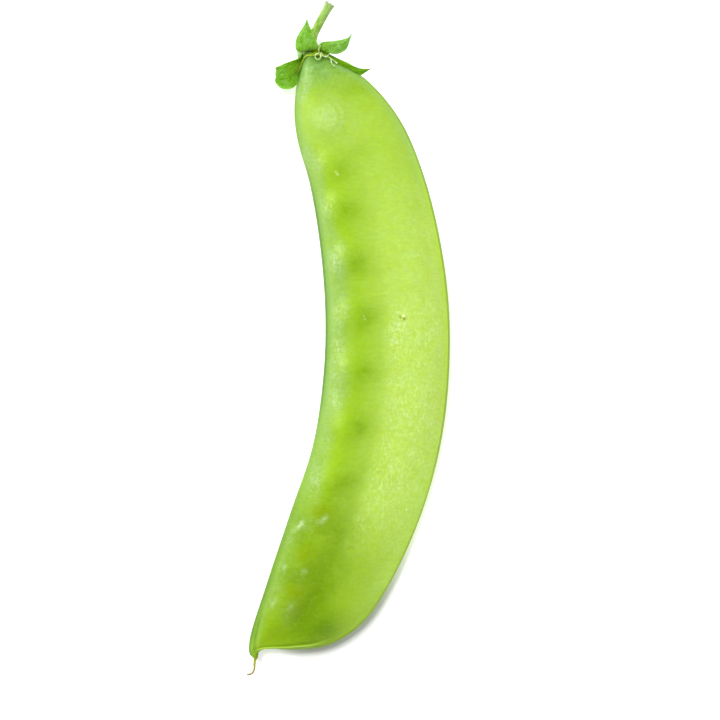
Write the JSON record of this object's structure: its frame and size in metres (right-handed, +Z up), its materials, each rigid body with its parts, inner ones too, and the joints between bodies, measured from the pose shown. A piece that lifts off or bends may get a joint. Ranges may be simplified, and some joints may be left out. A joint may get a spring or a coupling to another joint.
{
  "type": "pea pod",
  "caption": "Flat, unripe green pea pod as picked, lying on its side, with cut stalk, calyx cup and sepals, beak with dried style, and dried stamen threads.",
  "frame": {"origin": "centre of the bounding box, on the surface that the pod lies on", "axes": "+Y up the pod from the beak to the stalk, +X from the seed seam to the back seam, +Z up from the surface"},
  "size_m": [0.0416, 0.1376, 0.0101],
  "materials": {
    "pod_wall": "waxy satin skin, yellow-green, paler and bluish along the seed seam",
    "stalk": "satin, finely ribbed",
    "calyx": "satin leaf with fine veins",
    "dried_style": "dry, matt, olive to brown",
    "dried_filament": "dry, matt, cream-white"
  },
  "bodies": {
    "root": {"pod": "pod_wall", "pedicel": "stalk", "calyx_cup": "calyx", "sepal_upper_left": "calyx", "sepal_upper_right": "calyx", "sepal_lower_left": "calyx", "sepal_lower_right": "calyx", "sepal_under": "calyx", "style": "dried_style", "filament_upright": "dried_filament", "filament_loop": "dried_filament", "filament_wavy": "dried_filament", "filament_hanging_left": "dried_filament", "filament_hanging_right": "dried_filament", "filament_under_left": "dried_filament", "filament_under_right": "dried_filament"}
  },
  "joints": []
}
